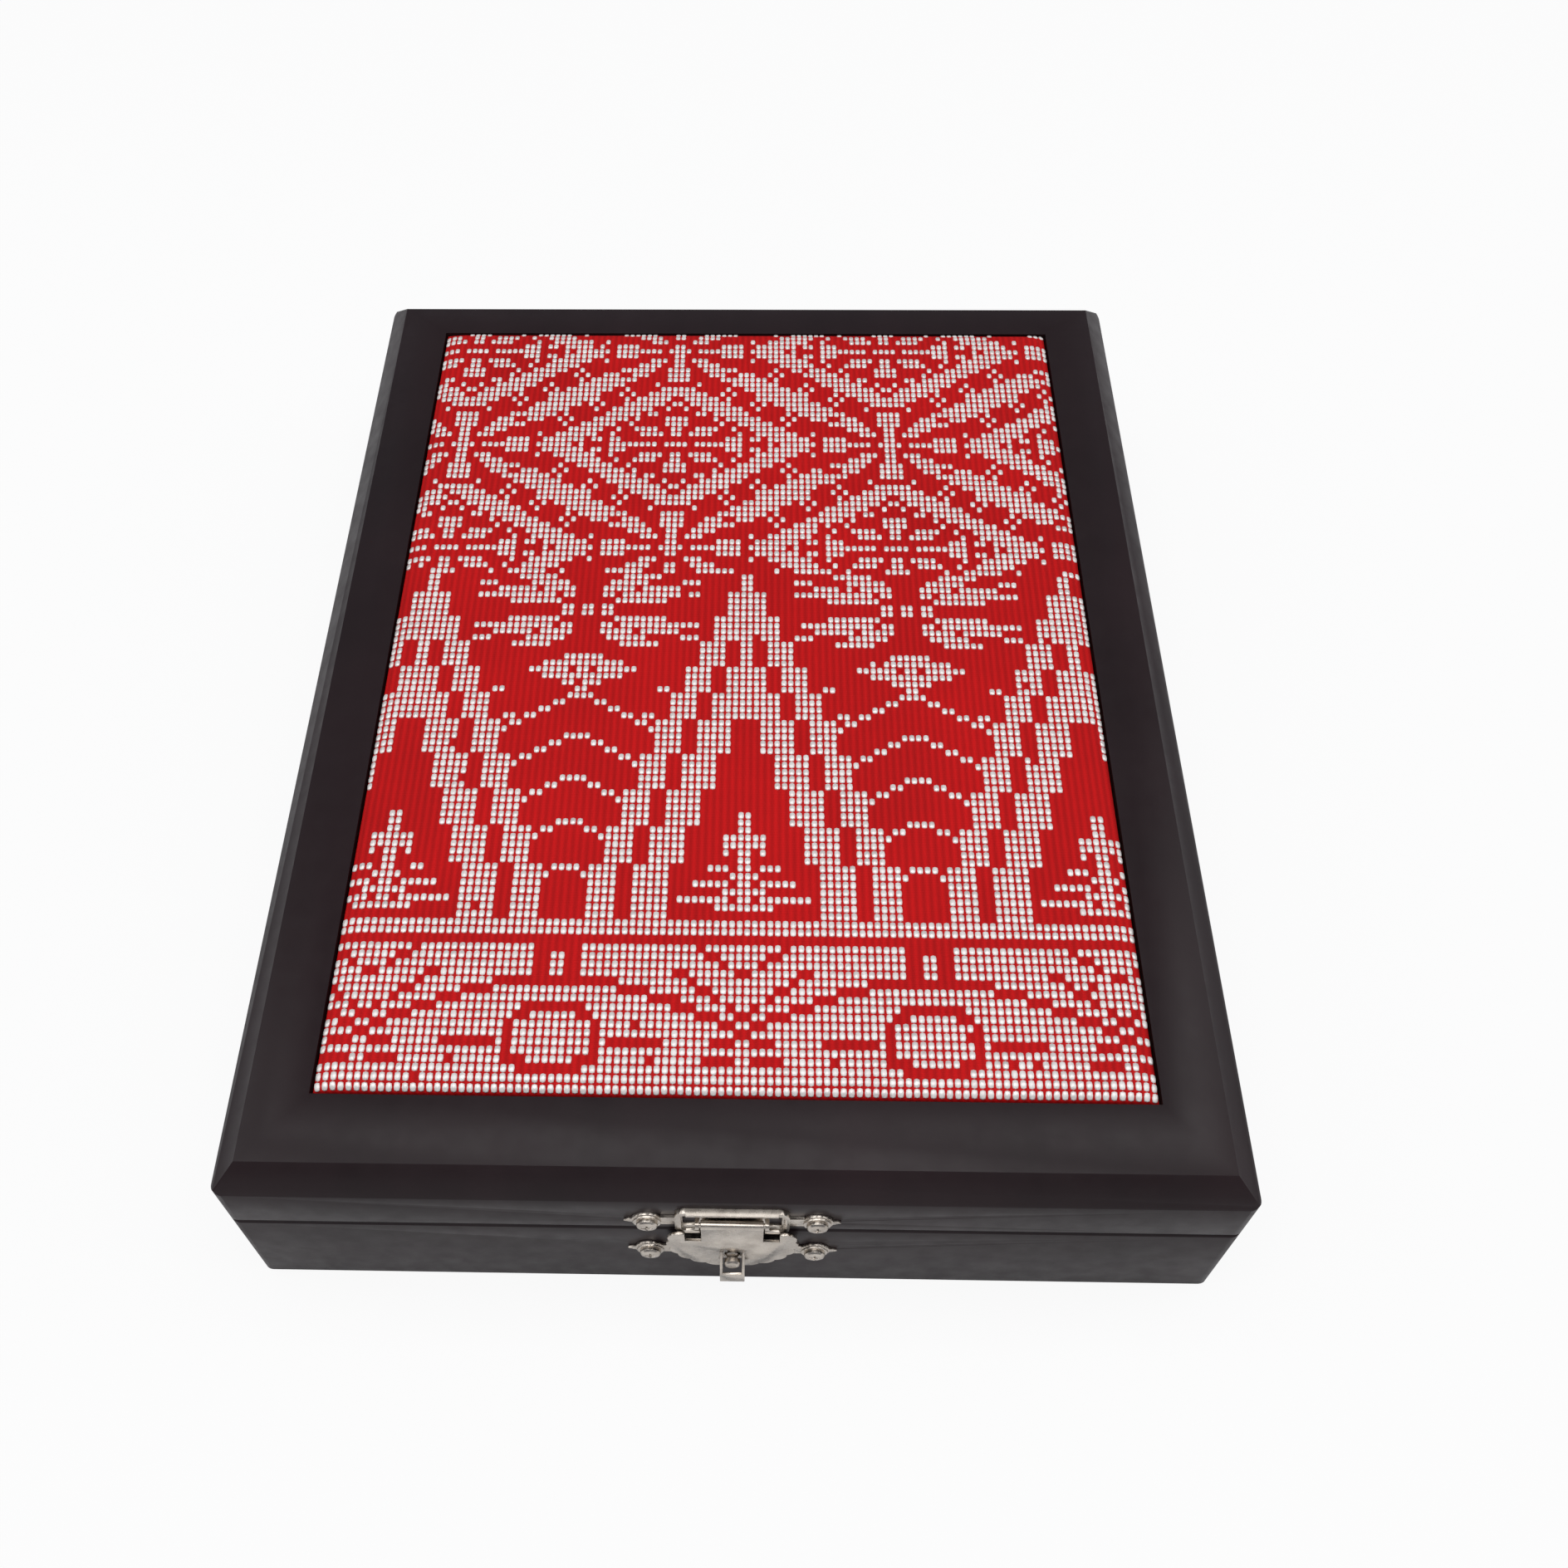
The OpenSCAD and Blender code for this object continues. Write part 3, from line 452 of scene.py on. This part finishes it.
def float_tree():
    tree = bpy.data.node_groups.new("silver_floats", "GeometryNodeTree")
    socket = tree.interface.new_socket
    socket("Geometry", in_out="INPUT", socket_type="NodeSocketGeometry")
    socket("Float Size", in_out="INPUT", socket_type="NodeSocketVector")
    socket("Squareness", in_out="INPUT", socket_type="NodeSocketFloat")
    socket("Thread", in_out="INPUT", socket_type="NodeSocketMaterial")
    socket("Geometry", in_out="OUTPUT", socket_type="NodeSocketGeometry")
    new, link = tree.nodes.new, tree.links.new
    given = new("NodeGroupInput")
    result = new("NodeGroupOutput")
    ball = new("GeometryNodeMeshUVSphere")
    ball.inputs["Segments"].default_value = FLOAT_SIDES
    ball.inputs["Rings"].default_value = FLOAT_RINGS
    ball.inputs["Radius"].default_value = BALL_RADIUS
    where = new("GeometryNodeInputPosition")
    parts = new("ShaderNodeSeparateXYZ")
    joined = new("ShaderNodeCombineXYZ")
    link(where.outputs[0], parts.inputs[0])
    for axis in range(3):
        size, power, sign, signed = (new("ShaderNodeMath") for _ in range(4))
        size.operation = "ABSOLUTE"
        power.operation = "POWER"
        sign.operation = "SIGN"
        signed.operation = "MULTIPLY"
        link(parts.outputs[axis], size.inputs[0])
        link(size.outputs[0], power.inputs[0])
        link(given.outputs["Squareness"], power.inputs[1])
        link(parts.outputs[axis], sign.inputs[0])
        link(power.outputs[0], signed.inputs[0])
        link(sign.outputs[0], signed.inputs[1])
        link(signed.outputs[0], joined.inputs[axis])
    squared = new("GeometryNodeSetPosition")
    link(ball.outputs["Mesh"], squared.inputs["Geometry"])
    link(joined.outputs[0], squared.inputs["Position"])
    smooth = new("GeometryNodeSetShadeSmooth")
    link(squared.outputs[0], smooth.inputs["Geometry"])
    points = new("GeometryNodeMeshToPoints")
    link(given.outputs["Geometry"], points.inputs["Mesh"])
    tilt = new("GeometryNodeInputNamedAttribute")
    tilt.data_type = "FLOAT_VECTOR"
    tilt.inputs["Name"].default_value = "tilt"
    laid = new("GeometryNodeInstanceOnPoints")
    link(points.outputs[0], laid.inputs["Points"])
    link(smooth.outputs[0], laid.inputs["Instance"])
    link(tilt.outputs["Attribute"], laid.inputs["Rotation"])
    link(given.outputs["Float Size"], laid.inputs["Scale"])
    real = new("GeometryNodeRealizeInstances")
    link(laid.outputs[0], real.inputs[0])
    dress = new("GeometryNodeSetMaterial")
    link(real.outputs[0], dress.inputs["Geometry"])
    link(given.outputs["Thread"], dress.inputs["Material"])
    link(dress.outputs[0], result.inputs[0])
    return tree


floats_made = float_tree()
float_inputs = {item.name: item.identifier for item in floats_made.interface.items_tree
                if item.in_out == "INPUT"}


def pad_rise(x, y):
    return rise_at(x, y, pad_w, pad_d, PAD_RISE, PAD_CROWN, PAD_ROUND)


def float_seats(name, figure, first, last, seed):
    draw = random.Random(seed)
    places, tilts = [], []
    for row in range(first, last):
        for col in range(COLUMNS):
            if not figure(col, row) or draw.random() < MISSED_SHARE:
                continue
            left = (col + CELL_MIDDLE) * step_x
            down = (row + CELL_MIDDLE) * step_y
            x = -pad_w / 2 + left + draw.uniform(-ASTRAY_ACROSS, ASTRAY_ACROSS) * MM
            y = pad_d / 2 - down + draw.uniform(-ASTRAY_ALONG, ASTRAY_ALONG) * MM
            rise = pad_rise(x, y)
            slope_x = (pad_rise(x + SLOPE_STEP, y) - rise) / SLOPE_STEP
            slope_y = (pad_rise(x, y + SLOPE_STEP) - rise) / SLOPE_STEP
            turn = draw.uniform(-ASTRAY_TURN, ASTRAY_TURN)
            places.append((pad_x + x, pad_y + y, pad_edge + rise))
            tilts += (math.atan(slope_y), -math.atan(slope_x), turn)
    mesh = bpy.data.meshes.new(name)
    mesh.from_pydata(places, [], [])
    tilt = mesh.attributes.new("tilt", "FLOAT_VECTOR", "POINT")
    tilt.data.foreach_set("vector", tilts)
    piece = bpy.data.objects.new(name, mesh)
    bpy.context.scene.collection.objects.link(piece)
    return piece


def lay_floats(name, figure, first, last, seed):
    piece = float_seats(name, figure, first, last, seed)
    lay = piece.modifiers.new("floats", "NODES")
    lay.node_group = floats_made
    lay[float_inputs["Float Size"]] = FLOAT_SIZE
    lay[float_inputs["Squareness"]] = SQUARENESS
    lay[float_inputs["Thread"]] = thread.material
    plain_mesh(piece)
    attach(piece, "lid")


# The upper band is a lattice of diamonds, each with a rosette, a dotted ring, a solid ring
# and a chain of small flowers, and with more rosettes on its corners. Lengths are in cells,
# and the rings are shares of the way from a diamond's middle, 0, to its edge, 1.
LATTICE_COL = 40.5
LATTICE_ROW = 23
LATTICE_END = 47
HALF_COLS = 35
HALF_ROWS = 19
SIDE_ROOM = (12.5, 8.2)
SIDE_ROSETTE = (11.5, 7.6)
TIP_ROOM = (12.5, 7.2)
TIP_ROSETTE = (11.5, 6.6)
MIDDLE_ROSETTE = (11.0, 6.0)
MIDDLE_ROOM = 0.36
DOTTED_START = 0.40
DOTTED_END = 0.45
DOT_PITCH = 3
SOLID_START = 0.49
SOLID_END = 0.67
CHAIN_LINE = 0.77
CHAIN_END = 0.86
CHAIN_FIRST = 3
CHAIN_PITCH = 5
EDGE_START = 0.885
HEART_END = 0.17
PETALS_START = 0.30
PETAL_COUNT = 8
PETAL_GAP = -0.25


def reach(cols, rows, size):
    return math.hypot(cols / size[0], rows / size[1])


def petals(cols, rows, size):
    away = reach(cols, rows, size)
    turn = math.cos(PETAL_COUNT * math.atan2(rows / size[1], cols / size[0]))
    return away < HEART_END or (PETALS_START < away < 1 and turn > PETAL_GAP)


def chain_flower(cols, rows):
    centre = CHAIN_FIRST + CHAIN_PITCH * round((cols - CHAIN_FIRST) / CHAIN_PITCH)
    level = round(HALF_ROWS * (CHAIN_LINE - centre / HALF_COLS))
    return abs(cols - centre) + abs(rows - level) == 1


def lattice(col, row):
    cols = abs(col - LATTICE_COL) % (2 * HALF_COLS)
    cols = min(cols, 2 * HALF_COLS - cols)
    rows = abs(row - LATTICE_ROW)
    if cols / HALF_COLS + rows / HALF_ROWS > 1:
        cols = HALF_COLS - cols
        rows = abs(HALF_ROWS - rows)
    out = cols / HALF_COLS + rows / HALF_ROWS
    if reach(HALF_COLS - cols, rows, SIDE_ROOM) < 1:
        return petals(HALF_COLS - cols, rows, SIDE_ROSETTE)
    if reach(cols, HALF_ROWS - rows, TIP_ROOM) < 1:
        return petals(cols, HALF_ROWS - rows, TIP_ROSETTE)
    if out < MIDDLE_ROOM:
        return petals(cols, rows, MIDDLE_ROSETTE)
    if DOTTED_START <= out < DOTTED_END:
        return int(cols) % DOT_PITCH != DOT_PITCH - 1
    if SOLID_START <= out < SOLID_END:
        return True
    if SOLID_END <= out < CHAIN_END:
        return chain_flower(int(cols), rows)
    return out >= EDGE_START


lay_floats("floats_lattice", lattice, 0, LATTICE_END, seed=7)

# The middle band is a row of tall stepped shoots with a sprig at the foot of each, and
# between two shoots a star, an eye and a stack of chevrons. Columns are counted from the
# middle of a shoot, or from the middle between two, and rows from the start of the band.
SHOOT_AXIS = 52.5
HALF_PERIOD = 24
SHOOTS_END = 97
TIP_END = 3
NECK_END = 7
NECK_WIDTH = 3
SHORT_STEPS_END = 23
SHORT_STEP_ROWS = 4
LONG_STEP_ROWS = 5
FIRST_SHORT_STEP = 2
FIRST_LONG_STEP = 6
LAST_STEP = 10
STEP_WIDTH = 2
OUTLINE_WIDTH = 4
RED_WIDTH = 2
CORE_MOST = 5
SPRIG_STEP = 7
SPRIG_ROW = 36
SPRIG_STEM_END = 3
SPRIG_BAR_END = 5
SPRIG_BAR_WIDTH = 3
SPRIG_END = 13
STAR_ROWS = 12
STAR_REACH = 17
STAR_HEART = 2
STAR_DOT = 4
INNER_ARM_END = 11.5
INNER_ARM_ROWS = 6
INNER_ARM_START = 2.0
INNER_ARM_SLOPE = 0.42
INNER_ARM_HALF = 1.35
OUTER_ARM_START = 0.8
OUTER_ARM_SLOPE = 0.17
OUTER_ARM_SLIM_END = 6
OUTER_ARM_SLIM = 0.9
OUTER_ARM_HALF = 1.3
NOTCH_FROM = 14
NOTCH_HALF = 0.6
DOTS_START = 15
DOT_ROW = 2
EYE_START = 13
EYE_END = 19
EYE_ROW = 15
EYE_COLS = 8
EYE_SIZE = (7.5, 3.2)
EYE_LIMIT = 1.05
CHEVRONS_START = 19
CHEVRON_PITCH = 6
CHEVRONS = 5


def from_shoot(col):
    return abs((col - SHOOT_AXIS + HALF_PERIOD) % (2 * HALF_PERIOD) - HALF_PERIOD)


def star(cols, rows):
    rows = abs(rows)
    from_inner = abs(rows - INNER_ARM_SLOPE * cols - INNER_ARM_START)
    from_outer = abs(rows - OUTER_ARM_SLOPE * cols - OUTER_ARM_START)
    outer_half = OUTER_ARM_SLIM if cols < OUTER_ARM_SLIM_END else OUTER_ARM_HALF
    inner = STAR_HEART <= cols < INNER_ARM_END and from_inner < INNER_ARM_HALF
    outer = STAR_DOT <= cols < STAR_REACH and from_outer < outer_half
    notch = cols > NOTCH_FROM and from_outer < NOTCH_HALF
    heart = rows < 1 and (cols < 1 or STAR_HEART <= cols < STAR_DOT)
    return (inner and rows < INNER_ARM_ROWS) or (outer and not notch) or heart


def eye(cols, rows):
    pupil_ring = 1 <= cols < 2 and rows < 1
    return cols / EYE_SIZE[0] + rows / EYE_SIZE[1] < EYE_LIMIT and not pupil_ring


def chevron(cols, down):
    pair = int(cols // 2)
    level = down - CHEVRONS_START - pair
    stack = level // CHEVRON_PITCH
    return level % CHEVRON_PITCH == 0 and 0 <= stack < CHEVRONS and pair <= CHEVRONS - stack


def sprig(away, down):
    if down < 0 or down >= SPRIG_END:
        return False
    if down < SPRIG_STEM_END:
        return away < 1
    if down < SPRIG_BAR_END:
        return away < SPRIG_BAR_WIDTH
    leaf = down - SPRIG_STEM_END
    if leaf % 2:
        return away < leaf / 2
    return away < 1 or 2 < away < leaf + 1


def shoot_step(down):
    if down < TIP_END:
        return 0
    if down < NECK_END:
        return 1
    if down < SHORT_STEPS_END:
        return FIRST_SHORT_STEP + (down - NECK_END) // SHORT_STEP_ROWS
    return min(LAST_STEP, FIRST_LONG_STEP + (down - SHORT_STEPS_END) // LONG_STEP_ROWS)


def shoot_body(away, step, wide, hollow):
    if step < FIRST_SHORT_STEP or away >= wide:
        return away < wide
    if away > wide - OUTLINE_WIDTH:
        return True
    core = wide - OUTLINE_WIDTH - RED_WIDTH
    if step < FIRST_LONG_STEP:
        return away < max(1, min(core, CORE_MOST))
    return hollow <= away < core


def shoots(col, row):
    away = from_shoot(col)
    between = HALF_PERIOD - away
    down = row - LATTICE_END
    step = shoot_step(down)
    wide = NECK_WIDTH + STEP_WIDTH * (step - 1)
    hollow = STEP_WIDTH * (step - FIRST_LONG_STEP + 1)
    if shoot_body(away, step, wide, hollow):
        return True
    if step >= SPRIG_STEP and away < hollow:
        return sprig(away, down - SPRIG_ROW)
    if down < STAR_ROWS and between < STAR_REACH:
        return star(between, down - (STAR_ROWS - 1) / 2)
    dot_row = DOTS_START <= down < SHORT_STEPS_END and down % SHORT_STEP_ROWS == DOT_ROW
    if dot_row and RED_WIDTH < away - wide < 2 * RED_WIDTH:
        return True
    if EYE_START <= down < EYE_END and between < EYE_COLS:
        return eye(between, abs(down - EYE_ROW))
    return down >= CHEVRONS_START and chevron(between, down)


lay_floats("floats_shoots", shoots, LATTICE_END, SHOOTS_END, seed=8)

# The lowest band is the border: a base line under the shoots, then flat arches with a short
# stem above and a round flower inside, and red vees where two arches meet. Its last rows
# are nearly solid silver.
BORDER_START = SHOOTS_END + 3
STEM_ROWS = 4
STEM_ROOM = 3
ARCH_TOP = 4
ARCH_FALL = 6.5
ARCH_POWER = 1.7
VEE_SLOPE = 0.62
VEE_REACH = 9
VEES = ((3.0, 3.9), (7.6, 8.5))
FLOWER_ROW = 10.5
FLOWER_SIZE = (6, 3.9)
FLOWER_ROOM = 1.08
FLOWER_EDGE = 0.86
DASH_ROW = 11
DASH_START = 7
DASH_END = 14
KNOT_COLS = 4
KNOT_BAR = 12
KNOT_END = 14
NICK_ROW = 13
NICK_PITCH = 7
NICK_AT = 5


def border(col, row):
    if row < BORDER_START:
        return row != BORDER_START - 1
    away = from_shoot(col)
    between = HALF_PERIOD - away
    down = row - BORDER_START
    if down < STEM_ROWS and between < STEM_ROOM:
        return between < 1 and down > 0
    arch = ARCH_TOP + ARCH_FALL * (between / HALF_PERIOD) ** ARCH_POWER
    vee = down + VEE_SLOPE * away
    if down < arch - 1:
        return away > VEE_REACH or not any(start <= vee < end for start, end in VEES)
    if down < arch:
        return False
    flower = reach(between, down - FLOWER_ROW, FLOWER_SIZE)
    if flower < FLOWER_ROOM:
        return flower < FLOWER_EDGE
    if down == DASH_ROW and DASH_START <= between < DASH_END:
        return False
    if away < KNOT_COLS and DASH_ROW <= down < KNOT_END:
        return away < 1 or down == KNOT_BAR
    return down != NICK_ROW or int(between) % NICK_PITCH != NICK_AT


lay_floats("floats_border", border, SHOOTS_END, ROWS, seed=9)

# The velvet: a padded floor and a padded panel in the lid, both with a low crown, and thin
# liners along the walls, all covered in dark red velvet and pressed in place.
VELVET_CROWN = 1.0 * MM
VELVET_SHOULDER = 0.9 * MM
VELVET_ROUND = 4.0 * MM
VELVET_STEPS = 24
LINER_EDGE = 0.5 * MM
LINER_STEPS = 3
VELVET_DARK = (0.085, 0.003, 0.008)
VELVET_RED = (0.150, 0.006, 0.014)
PILE_RELIEF = 0.12 * MM
HOLLOW_DEPTH = 0.8
velvet = Finish("wine_velvet", Roughness=0.95, Sheen_Weight=0.8, Sheen_Roughness=0.35)
crushed = velvet.noise(scale=45, detail=4).spread(0.35, 0.65)
pile = velvet.noise(scale=2600, detail=3)
hollows = velvet.noise(scale=60, detail=3)
velvet.set("Base Color", velvet.mix(crushed, VELVET_DARK, VELVET_RED))
velvet.bump(pile + hollows * HOLLOW_DEPTH, PILE_RELIEF)


def velvet_pad(name, node, body, face_down):
    low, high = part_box(node)
    tall = high.z - low.z
    centre = ((low.x + high.x) / 2, (low.y + high.y) / 2)
    rise = min(VELVET_SHOULDER, tall - VELVET_CROWN)
    edge = tall - VELVET_CROWN - rise
    piece = crowned_form(name, centre, high.x - low.x, high.y - low.y, 0.0, edge,
                         rise, VELVET_CROWN, VELVET_ROUND, VELVET_STEPS)
    for vertex in piece.data.vertices:
        vertex.co.z = high.z - vertex.co.z if face_down else low.z + vertex.co.z
    if face_down:
        piece.data.flip_normals()
    coat(piece, velvet)
    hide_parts(node)
    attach(piece, body)


velvet_pad("velvet_floor_pad", "floor_pad", "base", face_down=False)
velvet_pad("velvet_lid_lining", "lid_lining", "lid", face_down=True)
for side in SIDES:
    liner = merged_copy(side + "_liner", "velvet_" + side + "_liner")
    ease_edges(liner, LINER_EDGE, LINER_STEPS)
    coat(liner, velvet)
    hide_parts(side + "_liner")
    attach(liner, "base")

# The nickel fittings: stamped plates, a folded hasp on its pin, a turned stud, butt hinges
# and screws, all nickel plated. The plates, the hasp and the plate screws show from close
# by, so they have the small broken edge that tumbling leaves.
STAMPED_EDGE = 0.12 * MM
NICKEL_BRIGHT = (0.66, 0.60, 0.53)
NICKEL_DULL = (0.46, 0.41, 0.36)
NICKEL_RELIEF = 0.003 * MM
nickel = Finish("stamped_nickel", Metallic=1.0)
handled = nickel.noise(scale=260, detail=4).spread(0.35, 0.7)
polish = nickel.noise(scale=700, detail=3).spread(0.3, 0.7, start=0.20, end=0.34)
nickel.set("Base Color", nickel.mix(handled, NICKEL_BRIGHT, NICKEL_DULL))
nickel.set("Roughness", polish)
nickel.bump(nickel.noise(scale=500, detail=2), NICKEL_RELIEF)
for node in ("hasp_pin", "left_hinge_pin", "right_hinge_pin", "base_hinge_screws",
             "lid_hinge_screws", "catch_stud", "left_hinge_base_leaf",
             "right_hinge_base_leaf", "left_hinge_lid_leaf", "right_hinge_lid_leaf"):
    coat(nodes[node], nickel)
for node, body in (("catch_plate", "base"), ("lid_latch_plate", "lid"), ("hasp_flap", "hasp"),
                   ("catch_plate_screws", "base"), ("lid_plate_screws", "lid")):
    stamped = merged_copy(node, "nickel_" + node)
    ease_edges(stamped, STAMPED_EDGE)
    coat(stamped, nickel)
    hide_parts(node)
    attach(stamped, body)
